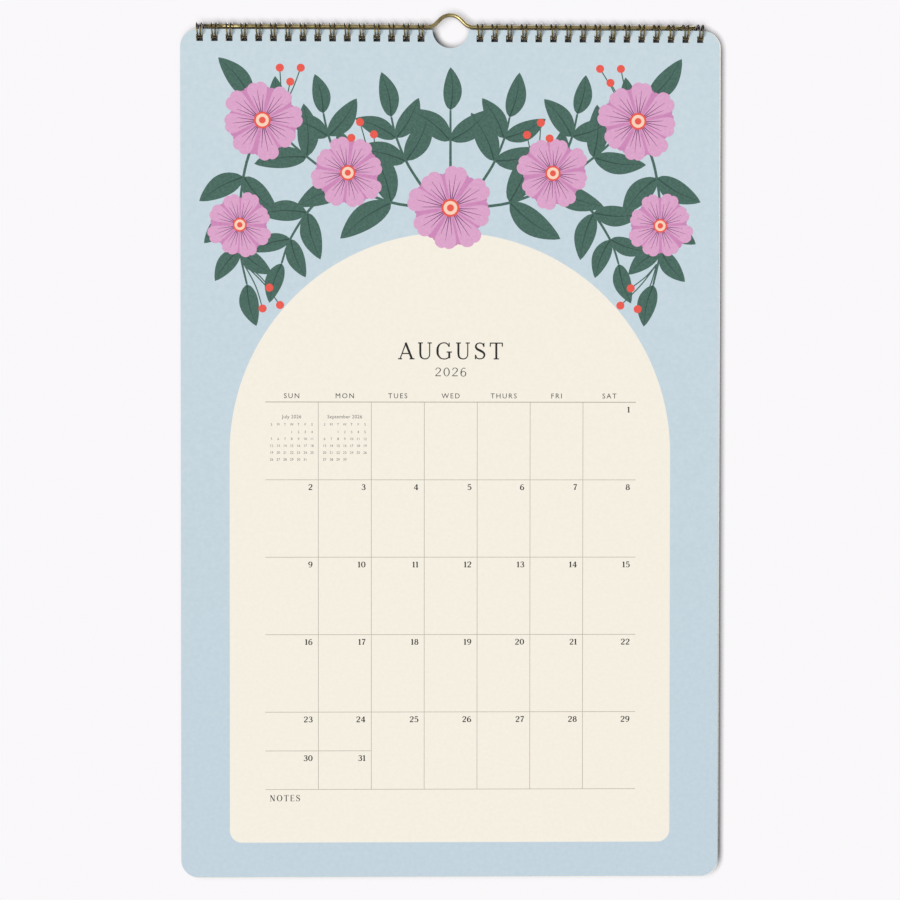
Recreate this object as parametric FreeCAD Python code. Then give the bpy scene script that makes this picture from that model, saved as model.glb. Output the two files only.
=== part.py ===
import FreeCAD, Part
import math
import os

# A wall calendar bound at the top by two twin-loop wires and hung from one wire hanger.
# It hangs open at the eighth month: the coming leaves in front of a backing card,
# the cover and the leaves already turned behind it.
# X runs to the reader's right, Y away from the reader, Z up.
# The origin is the seat of the nail, under the top of the hanger's arch.

# Sheets
leaf_width = 310.0
leaf_height = 488.0
corner_radius = 10.0
leaf_thickness = 0.12
coming_leaf_count = 5
turned_leaf_count = 7
cover_thickness = 0.2
card_thickness = 0.5
sheet_gap = 0.05
thumb_cut_radius = 10.4
length_tolerance = 0.001

# Punched holes
hole_pitch = 8.467
hole_edge_margin = 10.0
middle_gap_pitches = 4
hole_side = 4.0
hole_top_margin = 2.9
punch_overrun = 1.0

# Twin-loop binding wire
wire_diameter = 0.9
wire_sides = 6
loop_radius = 4.05
loop_centre_below_edge = 0.4
root_half_spread = 1.45
tip_half_spread = 0.8
tip_half_flat = 0.4
link_set_back = 0.4
link_clearance = 0.05
tip_short_of_link = 10.0
back_runs = 4
front_runs = 5

# Hanger
hanger_diameter = 2.3
hanger_clearance = 0.05
hanger_end_inset = 2.9
arch_seat_above_leaf = 7.65
arch_half_width = 13.0
arch_flank_angle = 45.0
arch_top_share = 0.55

# Sizes that follow from the ones above
leaf_top = -arch_seat_above_leaf
leaf_bottom = leaf_top - leaf_height
loop_centre = leaf_top - loop_centre_below_edge
link_angle = 180.0 + math.degrees(math.asin(link_set_back / loop_radius))
tip_angle = link_angle - tip_short_of_link
card_back = link_set_back - wire_diameter / 2 - link_clearance
card_front = card_back - card_thickness
coming_thickness = coming_leaf_count * leaf_thickness
coming_front = card_front - sheet_gap - coming_thickness
cover_front = link_set_back + wire_diameter / 2 + link_clearance
turned_front = cover_front + cover_thickness
turned_thickness = turned_leaf_count * leaf_thickness
first_hole = middle_gap_pitches / 2 * hole_pitch
holes_each_side = 1 + int((leaf_width / 2 - hole_edge_margin - first_hole) / hole_pitch)
last_hole = first_hole + (holes_each_side - 1) * hole_pitch
hanger_radius = hanger_diameter / 2


def vec(x, y, z):
    """A point or direction."""
    return FreeCAD.Vector(x, y, z)


def hole_places(side):
    """X of each hole on one side, from the middle outwards; side is -1 or 1."""
    return [side * (first_hole + i * hole_pitch) for i in range(holes_each_side)]


def punched_hole(x, front, thickness):
    """The square plug of air that one hole takes out of a sheet; it stands out on both faces."""
    low = leaf_top - hole_top_margin - hole_side
    corner = vec(x - hole_side / 2, front - punch_overrun, low)
    return Part.makeBox(hole_side, thickness + 2 * punch_overrun, hole_side, corner)


def thumb_cut(front, thickness):
    """The half-round cut in the middle of the top edge that bares the hanger's arch."""
    start = vec(0, front - punch_overrun, leaf_top)
    return Part.makeCylinder(thumb_cut_radius, thickness + 2 * punch_overrun, start, vec(0, 1, 0))


def sheet(front, thickness):
    """A punched sheet, or a block of them, with rounded corners and the thumb cut."""
    corner = vec(-leaf_width / 2, front, leaf_bottom)
    blank = Part.makeBox(leaf_width, thickness, leaf_height, corner)
    through = [e for e in blank.Edges if abs(e.Length - thickness) < length_tolerance]
    blank = blank.makeFillet(corner_radius, through)
    places = hole_places(-1) + hole_places(1)
    tools = [punched_hole(x, front, thickness) for x in places]
    tools.append(thumb_cut(front, thickness))
    return blank.cut(Part.makeCompound(tools))


def ring_corner_radius(run_angle):
    """Radius of the corners of straight runs that follow the loop's circle on average."""
    half_turn = math.radians(run_angle / 2)
    return 2 * loop_radius / (1 + math.cos(half_turn))


def on_loop(x, angle, radius):
    """A point on a loop; the angle is 0 at the top, 90 at the front, 180 at the bottom."""
    turn = math.radians(angle)
    return vec(x, -radius * math.sin(turn), loop_centre + radius * math.cos(turn))


def half_finger():
    """Corners of half a finger, from the middle of the link before it to its tip.

    The strand rises up the back from the link, passes over the top
    and narrows down the front to the tip, which closes on the link again.
    """
    back_step = (360.0 - link_angle) / back_runs
    front_step = tip_angle / front_runs
    back_radius = ring_corner_radius(back_step)
    front_radius = ring_corner_radius(front_step)
    link = on_loop(0, link_angle, loop_radius)
    corners = [vec(-hole_pitch / 2, link.y, link.z), vec(-root_half_spread, link.y, link.z)]
    for i in range(1, back_runs + 1):
        corners.append(on_loop(-root_half_spread, link_angle + i * back_step, back_radius))
    for i in range(1, front_runs):
        narrowed = root_half_spread + (tip_half_spread - root_half_spread) * i / (front_runs - 1)
        corners.append(on_loop(-narrowed, i * front_step, front_radius))
    corners.append(on_loop(-tip_half_flat, tip_angle, loop_radius))
    return corners


def wire_section(centre):
    """The wire's outline square to X; its flats stand in for a round wire of like section."""
    radius = wire_diameter / 2
    turns = [2 * math.pi * (i + 0.5) / wire_sides for i in range(wire_sides + 1)]
    ring = [vec(centre.x, centre.y + radius * math.sin(t), centre.z + radius * math.cos(t)) for t in turns]
    return Part.makePolygon(ring)


def finger():
    """One finger of the binding wire with half a link on each side, about X = 0."""
    left = half_finger()
    right = [vec(-p.x, p.y, p.z) for p in reversed(left)]
    path = Part.makePolygon(left + right)
    return path.makePipeShell([wire_section(left[0])], True, False, 1)


def binding_wire(side):
    """One continuous twin-loop wire: a finger at every hole of its side."""
    fingers = []
    for x in hole_places(side):
        piece = finger()
        piece.translate(vec(x, 0, 0))
        fingers.append(piece)
    return fingers[0].multiFuse(fingers[1:]).removeSplitter()


def arc_to(start, heading, radius, turn):
    """An arc in the hanger's plane with its end and end heading; a positive turn goes left."""
    side = 1 if turn > 0 else -1
    centre = vec(start.x - side * radius * math.sin(heading), 0, start.z + side * radius * math.cos(heading))

    def at(share):
        a = heading + turn * share
        return vec(centre.x + side * radius * math.sin(a), 0, centre.z - side * radius * math.cos(a))

    return Part.Arc(start, at(0.5), at(1.0)).toShape(), at(1.0), heading + turn


def hanger():
    """One wire: two straight arms that run inside the loops and a bell-shaped arch for the nail."""
    arm_height = loop_centre + loop_radius - wire_diameter / 2 - hanger_clearance - hanger_radius
    rise = hanger_radius - arm_height
    flank = math.radians(arch_flank_angle)
    bend_rise = 1 - math.cos(flank)
    bend_run = math.sin(flank) - bend_rise / math.tan(flank)
    both_radii = (arch_half_width - rise / math.tan(flank)) / bend_run
    top_radius = both_radii * arch_top_share
    foot_radius = both_radii - top_radius
    flank_length = (rise - both_radii * bend_rise) / math.sin(flank)
    arm_end = last_hole - hanger_end_inset
    start = vec(-arm_end, 0, arm_height)
    foot = vec(-arch_half_width, 0, arm_height)
    edges = [Part.makeLine(start, foot)]
    foot_arc, low, heading = arc_to(foot, 0.0, foot_radius, flank)
    high = low + vec(math.cos(heading), 0, math.sin(heading)) * flank_length
    top_arc, far, heading = arc_to(high, heading, top_radius, -2 * flank)
    end = vec(-low.x, 0, low.z)
    last_arc, far_foot, heading = arc_to(end, heading, foot_radius, flank)
    edges += [foot_arc, Part.makeLine(low, high), top_arc, Part.makeLine(far, end), last_arc]
    edges.append(Part.makeLine(far_foot, vec(arm_end, 0, arm_height)))
    section = Part.Wire(Part.makeCircle(hanger_radius, start, vec(1, 0, 0)))
    return Part.Wire(edges).makePipeShell([section], True, True, 0)


def build():
    """Every separate piece of the calendar by name."""
    return {
        "hanger": hanger(),
        "left_binding_wire": binding_wire(-1),
        "right_binding_wire": binding_wire(1),
        "backing_card": sheet(card_front, card_thickness),
        "coming_leaves": sheet(coming_front, coming_thickness),
        "front_cover": sheet(cover_front, cover_thickness),
        "turned_leaves": sheet(turned_front, turned_thickness),
    }


os.makedirs("parts", exist_ok=True)
for name, shape in build().items():
    shape.exportStep("parts/" + name + ".step")
    print(name, len(shape.Solids), "solid", shape.isValid(), round(shape.Volume, 1), "mm3", shape.BoundBox)
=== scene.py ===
"""Looks of a wire-bound wall calendar that hangs from a wire hanger, open at one month.

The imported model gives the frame: its hanger, its two binding wires and its sheets. Every piece here
stands for one of those solids, or is print that lies on the open leaf, and rides on the same body.
Lengths are written in millimetres and turned into metres where a mesh is made. On a leaf, `across`
runs to the reader's right from its middle and `down` runs from its top edge.
"""

import logging
import math
from dataclasses import dataclass, field
from enum import Enum
from typing import Callable, Iterable, Sequence

import bmesh
import bpy
import numpy as np
from mathutils import Matrix, Vector
from mathutils.geometry import tessellate_polygon

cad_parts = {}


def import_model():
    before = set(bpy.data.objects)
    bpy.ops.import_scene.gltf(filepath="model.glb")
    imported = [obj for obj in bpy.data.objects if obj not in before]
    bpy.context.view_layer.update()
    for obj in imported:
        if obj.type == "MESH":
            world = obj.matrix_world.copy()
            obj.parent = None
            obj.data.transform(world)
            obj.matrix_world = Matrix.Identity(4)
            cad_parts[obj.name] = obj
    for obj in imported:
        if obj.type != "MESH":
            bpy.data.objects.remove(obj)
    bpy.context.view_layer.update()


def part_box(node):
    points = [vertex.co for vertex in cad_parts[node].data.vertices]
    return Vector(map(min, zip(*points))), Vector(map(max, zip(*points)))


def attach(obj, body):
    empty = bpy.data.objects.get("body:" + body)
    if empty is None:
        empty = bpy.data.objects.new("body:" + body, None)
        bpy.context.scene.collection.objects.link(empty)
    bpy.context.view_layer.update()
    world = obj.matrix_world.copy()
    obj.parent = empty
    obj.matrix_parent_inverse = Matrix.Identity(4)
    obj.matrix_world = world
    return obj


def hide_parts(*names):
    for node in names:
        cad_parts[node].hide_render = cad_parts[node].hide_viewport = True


log = logging.getLogger("wall_calendar")

MM = 0.001
TOOTH_WAVES = 2600.0
TOOTH_DEPTH = 0.03 * MM
Point = tuple[float, float]
Loop = list[Point]


class Body(Enum):
    """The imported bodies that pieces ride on."""

    HANGER = "hanger"
    BINDING = "binding"
    COMING = "coming_leaves"
    TURNED = "turned_leaves"


class Slot(Enum):
    """The material slots of the record."""

    HANGER = "hanger_brass"
    BINDING = "binding_brass"
    CARD = "plain_card"
    PRINTED = "printed_paper"
    COVER = "cover_paper"
    TURNED = "turned_paper"


def linear(red: float, green: float, blue: float) -> tuple[float, float, float, float]:
    """Turns a screen colour into the linear colour that a shader takes.

    Args:
        red: Red, 0 to 255.
        green: Green, 0 to 255.
        blue: Blue, 0 to 255.

    Returns:
        Linear red, green, blue and an alpha of 1.
    """
    shares = [c / 255 for c in (red, green, blue)]
    turned = [s / 12.92 if s <= 0.04045 else ((s + 0.055) / 1.055) ** 2.4 for s in shares]
    return (*turned, 1.0)


class NodeTree:
    """A small helper that adds and links shader nodes of one material."""

    def __init__(self, name: str) -> None:
        """Starts an empty material of that name."""
        self.material = bpy.data.materials.new(name)
        self.material.use_nodes = True
        self.nodes = self.material.node_tree.nodes
        self.links = self.material.node_tree.links
        self.nodes.clear()
        self.output = self.nodes.new("ShaderNodeOutputMaterial")

    def add(self, kind: str, **inputs: object) -> bpy.types.Node:
        """Adds one node.

        Args:
            kind: The node's type name.
            inputs: Values for its input sockets, with spaces written as underscores.

        Returns:
            The new node.
        """
        node = self.nodes.new(kind)
        for key, value in inputs.items():
            node.inputs[key.replace("_", " ")].default_value = value
        return node

    def link(self, source: bpy.types.NodeSocket, target: bpy.types.NodeSocket) -> None:
        """Joins an output socket to an input socket."""
        self.links.new(source, target)

    def noise(self, scale: float, detail: float = 2.0, stretch: Sequence[float] = (1, 1, 1)) -> bpy.types.NodeSocket:
        """Adds noise in the object's own metres.

        Args:
            scale: Waves to the metre.
            detail: Octaves of finer noise.
            stretch: Scale of each axis.

        Returns:
            The noise's value socket.
        """
        place = self.add("ShaderNodeTexCoord")
        mapping = self.add("ShaderNodeMapping", Scale=tuple(stretch))
        texture = self.add("ShaderNodeTexNoise", Scale=scale, Detail=detail)
        self.link(place.outputs["Object"], mapping.inputs["Vector"])
        self.link(mapping.outputs["Vector"], texture.inputs["Vector"])
        return texture.outputs["Fac"]

    def along(self, space: str, axis: str, start: float, end: float) -> bpy.types.NodeSocket:
        """Gives the share of the way along an axis of the object.

        Args:
            space: "Object" for the place in the object, "Normal" for the way that the face looks.
            axis: The axis, X, Y or Z.
            start: Where the share is 0.
            end: Where the share is 1.

        Returns:
            The share's socket.
        """
        place = self.add("ShaderNodeTexCoord")
        parts = self.add("ShaderNodeSeparateXYZ")
        share = self.add("ShaderNodeMapRange", From_Min=start, From_Max=end)
        self.link(place.outputs[space], parts.inputs["Vector"])
        self.link(parts.outputs[axis], share.inputs["Value"])
        return share.outputs["Result"]

    def ramp(self, value: bpy.types.NodeSocket, stops: Sequence[tuple[float, tuple]]) -> bpy.types.NodeSocket:
        """Turns a value into a colour.

        Args:
            value: The socket to read.
            stops: Places from 0 to 1 with their colours.

        Returns:
            The ramp's colour socket.
        """
        ramp = self.add("ShaderNodeValToRGB")
        ramp.color_ramp.elements[0].position = stops[0][0]
        ramp.color_ramp.elements[0].color = stops[0][1]
        ramp.color_ramp.elements[1].position = stops[-1][0]
        ramp.color_ramp.elements[1].color = stops[-1][1]
        for place, colour in stops[1:-1]:
            ramp.color_ramp.elements.new(place).color = colour
        self.link(value, ramp.inputs["Fac"])
        return ramp.outputs["Color"]

    def mix(self, share: bpy.types.NodeSocket, first: object, second: object) -> bpy.types.NodeSocket:
        """Mixes two colours.

        Args:
            share: The socket that gives the second colour's share.
            first: A colour or a colour socket.
            second: A colour or a colour socket.

        Returns:
            The mixed colour's socket.
        """
        node = self.nodes.new("ShaderNodeMix")
        node.data_type = "RGBA"
        self.link(share, node.inputs[0])
        for socket, value in ((node.inputs[6], first), (node.inputs[7], second)):
            if isinstance(value, bpy.types.NodeSocket):
                self.link(value, socket)
            else:
                socket.default_value = value
        return node.outputs[2]

    def multiply(self, first: bpy.types.NodeSocket, second: bpy.types.NodeSocket) -> bpy.types.NodeSocket:
        """Multiplies two colours and returns the product's socket."""
        node = self.nodes.new("ShaderNodeMix")
        node.data_type = "RGBA"
        node.blend_type = "MULTIPLY"
        node.inputs[0].default_value = 1.0
        self.link(first, node.inputs[6])
        self.link(second, node.inputs[7])
        return node.outputs[2]

    def bump(self, height: bpy.types.NodeSocket, strength: float, distance: float) -> bpy.types.NodeSocket:
        """Adds fine relief and returns its normal socket."""
        node = self.add("ShaderNodeBump", Strength=strength, Distance=distance)
        self.link(height, node.inputs["Height"])
        return node.outputs["Normal"]

    def matt(self, colour: bpy.types.NodeSocket, roughness: float, shine: float, tooth: float) -> bpy.types.Material:
        """Finishes a matt material with a fine tooth.

        Args:
            colour: Its colour's socket.
            roughness: How rough it is.
            shine: Its specular level.
            tooth: Strength of the tooth.

        Returns:
            The material.
        """
        skin = self.add("ShaderNodeBsdfPrincipled", Roughness=roughness, Specular_IOR_Level=shine)
        self.link(colour, skin.inputs["Base Color"])
        self.link(self.bump(self.noise(TOOTH_WAVES, 3.0), tooth, TOOTH_DEPTH), skin.inputs["Normal"])
        self.link(skin.outputs["BSDF"], self.output.inputs["Surface"])
        return self.material


def shade(colour: tuple, factor: float) -> tuple:
    """A colour made lighter or darker by a factor."""
    return (*(min(1.0, c * factor) for c in colour[:3]), 1.0)


def grey(level: float) -> tuple:
    """A grey of one level."""
    return (level, level, level, 1.0)


@dataclass(frozen=True)
class PaperFinish:
    """Matt paper or card with a soft mottle and a fine tooth."""

    name: str
    colour: tuple
    cloud: float = 0.03
    tooth: float = 0.25
    grain: float = 0.035

    def material(self) -> bpy.types.Material:
        """Makes the paper's material: broad clouds, fine fibres and a slight tooth."""
        tree = NodeTree(self.name)
        pale, deep = shade(self.colour, 1 + self.cloud), shade(self.colour, 1 - self.cloud)
        clouds = tree.ramp(tree.noise(9.0), [(0.35, deep), (0.65, pale)])
        fibres = tree.noise(950.0, 4.0, (1.0, 1.0, 0.7))
        flecks = tree.ramp(fibres, [(0.3, grey(1 - self.grain)), (0.7, grey(1 + self.grain))])
        return tree.matt(tree.multiply(clouds, flecks), 0.86, 0.22, self.tooth)


@dataclass(frozen=True)
class PrintedLeafFinish:
    """The open leaf: a pale printed ground in front, white paper at its edges and behind."""

    name: str
    high: tuple
    low: tuple
    paper: tuple
    top: float = -0.02
    bottom: float = -0.48

    def material(self) -> bpy.types.Material:
        """Makes the leaf's material, whose ground is a little darker towards the foot: painted shade, standing in for
        light that falls off down the leaf.
        """
        tree = NodeTree(self.name)
        # Painted shade: the ground runs from the paler `high` colour at the top to the darker `low` colour at the
        # foot.
        height = tree.along("Object", "Z", self.bottom, self.top)
        ground = tree.mix(height, self.low, self.high)
        mottle = tree.ramp(tree.noise(420.0, 5.0), [(0.3, (0.955, 0.965, 0.97, 1)), (0.7, (1.03, 1.02, 1.015, 1))])
        front = tree.along("Normal", "Y", -0.4, -0.6)
        return tree.matt(tree.mix(front, self.paper, tree.multiply(ground, mottle)), 0.82, 0.25, 0.25)


@dataclass(frozen=True)
class InkFinish:
    """Flat printing ink that soaks into paper, with a speckle of a second tone."""

    name: str
    colour: tuple
    speckle: float = 0.05
    speckle_scale: float = 700.0

    def material(self) -> bpy.types.Material:
        """Makes the ink's material."""
        tree = NodeTree(self.name)
        stops = [(0.36, shade(self.colour, 1 - self.speckle)), (0.64, shade(self.colour, 1 + self.speckle))]
        return tree.matt(tree.ramp(tree.noise(self.speckle_scale, 5.0), stops), 0.8, 0.25, 0.2)


@dataclass(frozen=True)
class WireFinish:
    """Drawn wire with a satin gold coat, a little darker where the coat is thin.

    Where a height in metres is given, the coat is darker above it: painted shade that stands in for the dark
    reflections on the tops of the loops.
    """

    name: str
    colour: tuple
    dark: tuple
    roughness: float = 0.3
    rubbed: float | None = None

    def material(self) -> bpy.types.Material:
        """Makes the wire's material: fine drawing lines, cloudy worn patches and, above a given height, painted shade.
        """
        tree = NodeTree(self.name)
        skin = tree.add("ShaderNodeBsdfPrincipled", Metallic=1.0)
        wear_and_painted_shade = tree.ramp(tree.noise(260.0, 4.0), [(0.35, self.dark), (0.6, self.colour)])
        # Painted shade: above the given height the coat's colour turns much darker, standing in for the dark
        # reflections on the tops of the loops.
        if self.rubbed is not None:
            share = tree.along("Object", "Z", self.rubbed - 0.4 * MM, self.rubbed + 0.8 * MM)
            wear_and_painted_shade = tree.mix(share, wear_and_painted_shade, shade(self.dark, 0.3))
        tree.link(wear_and_painted_shade, skin.inputs["Base Color"])
        rough = tree.add("ShaderNodeMapRange", To_Min=self.roughness - 0.08, To_Max=self.roughness + 0.12)
        tree.link(tree.noise(900.0, 3.0), rough.inputs["Value"])
        tree.link(rough.outputs["Result"], skin.inputs["Roughness"])
        tree.link(tree.bump(tree.noise(1800.0, 2.0, (0.15, 1, 1)), 0.12, 0.02 * MM), skin.inputs["Normal"])
        tree.link(skin.outputs["BSDF"], tree.output.inputs["Surface"])
        return tree.material


class Piece:
    """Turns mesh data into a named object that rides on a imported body."""

    @staticmethod
    def from_bmesh(
        shape: bmesh.types.BMesh, name: str, material: bpy.types.Material, smooth: bool = False
    ) -> bpy.types.Object:
        """Makes an object of a mesh.

        Args:
            shape: The mesh, in metres, which is freed.
            name: The piece's name.
            material: Its finish.
            smooth: Whether its faces are shaded smooth.

        Returns:
            The new object.
        """
        mesh = bpy.data.meshes.new(name)
        shape.to_mesh(mesh)
        shape.free()
        mesh.materials.append(material)
        for polygon in mesh.polygons:
            polygon.use_smooth = smooth
        made = bpy.data.objects.new(name, mesh)
        bpy.context.scene.collection.objects.link(made)
        return made

    @staticmethod
    def seat(made: bpy.types.Object, body: Body, slot: Slot, replaced: Sequence[str] = ()) -> None:
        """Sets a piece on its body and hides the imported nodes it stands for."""
        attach(made, body.value)
        if replaced:
            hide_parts(*replaced)
        log.info("%s: %d faces on %s", made.name, len(made.data.polygons), body.value)


def circle_points(centre: Point, radius: float, count: int, start: float = 0.0, turn: float = 360.0) -> Loop:
    """Points round a circle or an arc.

    Args:
        centre: Its middle.
        radius: Its radius.
        count: How many steps it takes.
        start: Angle of the first point, in degrees.
        turn: How far it goes round.

    Returns:
        The points, with both ends where it isn't a full circle.
    """
    steps = count if abs(turn) >= 360 else count + 1
    angles = [math.radians(start + turn * i / count) for i in range(steps)]
    return [(centre[0] + radius * math.cos(a), centre[1] + radius * math.sin(a)) for a in angles]


@dataclass
class FlatShape:
    """Flat faces on a leaf, as points across and down with triangles between them."""

    points: list[Point] = field(default_factory=list)
    faces: list[tuple[int, ...]] = field(default_factory=list)
    plies: list[int] = field(default_factory=list)
    laid: list[tuple[float, float, float, float, int]] = field(default_factory=list)

    def add_outline(self, outline: Loop, holes: Sequence[Loop] = ()) -> None:
        """Adds a filled outline, with holes where it has them."""
        loops = [outline, *holes]
        base = len(self.points)
        triangles = tessellate_polygon([[Vector((x, y, 0)) for x, y in loop] for loop in loops])
        self.points += [p for loop in loops for p in loop]
        self.add_faces([tuple(base + i for i in t) for t in triangles])

    def add_faces(self, faces: Sequence[tuple[int, ...]]) -> None:
        # The ground's two colours are painted shade: paler at the top, darker at the foot.
        """Adds the faces of one print, on the lowest ply that none of the prints it crosses holds."""
        corners = [self.points[i] for face in faces for i in face]
        left, right = min(x for x, _ in corners), max(x for x, _ in corners)
        high, low = min(y for _, y in corners), max(y for _, y in corners)
        held = {ply for a, b, c, d, ply in self.laid if a <= right and b >= left and c <= low and d >= high}
        ply = next(free for free in range(len(held) + 1) if free not in held)
        self.faces += faces
        self.plies += [ply] * len(faces)
        self.laid.append((left, right, high, low, ply))

    def add_band(self, spine: Loop, widths: Sequence[float]) -> None:
        """Adds a band that follows a line, with its full width at each point."""
        base = len(self.points)
        # The loops are painted darker above the leaves' top edge: painted shade for the dark reflections on their
        # tops.
        for i, (x, y) in enumerate(spine):
            ahead = spine[min(i + 1, len(spine) - 1)]
            behind = spine[max(i - 1, 0)]
            dx, dy = ahead[0] - behind[0], ahead[1] - behind[1]
            length = math.hypot(dx, dy) or 1.0
            side = (-dy / length * widths[i] / 2, dx / length * widths[i] / 2)
            self.points += [(x + side[0], y + side[1]), (x - side[0], y - side[1])]
        corners = range(base, base + 2 * (len(spine) - 1), 2)
        self.add_faces([(a, a + 1, a + 3, a + 2) for a in corners])

    def add_shape(self, other: "FlatShape", place: Callable[[Point], Point]) -> None:
        """Adds another shape, each point moved by a function."""
        base = len(self.points)
        self.points += [place(p) for p in other.points]
        self.add_faces([tuple(base + i for i in f) for f in other.faces])


@dataclass(frozen=True)
class SheetSizes:
    """Sizes that every punched sheet shares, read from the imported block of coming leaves."""

    width: float
    height: float
    top: float
    corner: float = 10.0
    hole: float = 4.0
    hole_margin: float = 2.9
    pitch: float = 8.467
    holes_each_side: int = 16
    middle_pitches: int = 4
    thumb_radius: float = 10.4

    @classmethod
    def from_frame(cls) -> "SheetSizes":
        """Reads width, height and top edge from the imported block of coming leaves."""
        low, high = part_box("coming_leaves")
        return cls((high.x - low.x) / MM, (high.z - low.z) / MM, high.z / MM)

    def hole_places(self, side: int) -> list[float]:
        """Middle of each hole of one side, across the leaf, from the middle outwards."""
        first = self.middle_pitches / 2 * self.pitch
        return [side * (first + i * self.pitch) for i in range(self.holes_each_side)]

    def outline(self, right: float = 0.0, foot: float = 0.0) -> Loop:
        """The sheet's edge with round corners and the thumb cut.

        Args:
            right: How far its right edge reaches past the true size.
            foot: How far its foot reaches past the true size.

        Returns:
            The points of the edge.
        """
        half, corner = self.width / 2, self.corner
        low = self.height + foot - corner
        edge = circle_points((half + right - corner, corner), corner, 8, -90, 90)
        edge += circle_points((half + right - corner, low), corner, 8, 0, 90)
        edge += circle_points((corner - half, low), corner, 8, 90, 90)
        edge += circle_points((corner - half, corner), corner, 8, 180, 90)
        edge += circle_points((0, 0), self.thumb_radius, 28, 180, -180)
        return edge

    def holes(self) -> list[Loop]:
        """The square punched holes."""
        low, high = self.hole_margin, self.hole_margin + self.hole
        half = self.hole / 2
        places = self.hole_places(-1) + self.hole_places(1)
        return [[(x - half, low), (x + half, low), (x + half, high), (x - half, high)] for x in places]


@dataclass(frozen=True)
class LeafBow:
    """How far a hanging sheet bows away from flat, towards its foot."""

    sizes: SheetSizes
    front: float
    bow: float
    start: float = 60.0
    step: float = 24.0
    ply: float = 0.0009

    def levels(self) -> list[float]:
        """Places down the sheet where its straight stretches meet."""
        count = int((self.sizes.height - self.start) / self.step)
        return [self.start + i * self.step for i in range(count + 1)]

    def front_at(self, down: float) -> float:
        """Place of the sheet's front face at a height, with straight stretches between levels."""
        levels = [0.0, *self.levels(), self.sizes.height]
        span = self.sizes.height - self.start
        values = [self.bow * (max(0.0, level - self.start) / span) ** 2 for level in levels]
        return self.front - float(np.interp(down, levels, values))

    def solid(self, shape: FlatShape, lift: float, thickness: float) -> bmesh.types.BMesh:
        """Lays a flat shape on the sheet as a thin closed solid.

        Args:
            shape: The shape across and down the sheet.
            lift: How far its front stands before the sheet's own front.
            thickness: Its thickness.

        Returns:
            The solid, in metres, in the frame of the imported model.
        """
        made = bmesh.new()
        corners: dict[tuple[int, int], bmesh.types.BMVert] = {}
        for face, ply in zip(shape.faces, shape.plies):
            for i in face:
                if (i, ply) not in corners:
                    x, y = shape.points[i]
                    corners[i, ply] = made.verts.new((x, ply * self.ply, -y))
            made.faces.new([corners[i, ply] for i in face])
        for level in self.levels():
            everything = made.verts[:] + made.edges[:] + made.faces[:]
            bmesh.ops.bisect_plane(made, geom=everything, plane_co=(0, 0, -level), plane_no=(0, 0, 1), dist=1e-6)
        bmesh.ops.recalc_face_normals(made, faces=made.faces)
        for face in made.faces:
            if face.normal.y > 0:
                face.normal_flip()
        grown = bmesh.ops.extrude_face_region(made, geom=made.faces[:])
        backs = {v for v in grown["geom"] if isinstance(v, bmesh.types.BMVert)}
        for vertex in made.verts:
            depth = thickness if vertex in backs else 0.0
            vertex.co.y = self.front_at(-vertex.co.z) - lift - vertex.co.y + depth
        for vertex in made.verts:
            vertex.co = Vector((vertex.co.x * MM, vertex.co.y * MM, (vertex.co.z + self.sizes.top) * MM))
        bmesh.ops.recalc_face_normals(made, faces=made.faces)
        return made


@dataclass
class SheetBlock:
    """A block of punched sheets on one body, each a thin solid of its own.

    `foot_bow` is how far the block's foot stands out, towards the reader where it is positive.
    """

    node: str
    body: Body
    slot: Slot
    count: int
    foot_bow: float
    finish: PaperFinish
    spill_right: float = 0.0
    spill_foot: float = 0.0
    air: float = 0.02

    def bow_of(self, sizes: SheetSizes, index: int) -> LeafBow:
        """The bow of one sheet, counted from the reader's side."""
        low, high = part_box(self.node)
        share = (high.y - low.y) / MM / self.count
        lean = (1 - index / self.count) if self.foot_bow > 0 else (index + 1) / self.count
        return LeafBow(sizes, low.y / MM + index * share, self.foot_bow * lean**2)

    def spill_share(self, index: int) -> float:
        """Share of the spill that one sheet shows: none on the first of several, most on the last."""
        return 1.0 if self.count == 1 else min(1.0, index * (0.6 + 0.1 * index))

    def thickness(self) -> float:
        """Thickness of one sheet, less the air between two of them."""
        low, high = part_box(self.node)
        return (high.y - low.y) / MM / self.count - self.air

    def build(self, sizes: SheetSizes, front_material: bpy.types.Material | None = None) -> None:
        """Makes the block's sheets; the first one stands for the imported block."""
        plain = self.finish.material()
        for index in range(self.count):
            share = self.spill_share(index)
            shape = FlatShape()
            shape.add_outline(sizes.outline(self.spill_right * share, self.spill_foot * share), sizes.holes())
            solid = self.bow_of(sizes, index).solid(shape, 0.0, self.thickness())
            dressed = front_material if index == 0 and front_material else plain
            made = Piece.from_bmesh(solid, f"{self.node}_{index + 1}", dressed)
            Piece.seat(made, self.body, self.slot, [self.node] if index == 0 else [])


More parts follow.
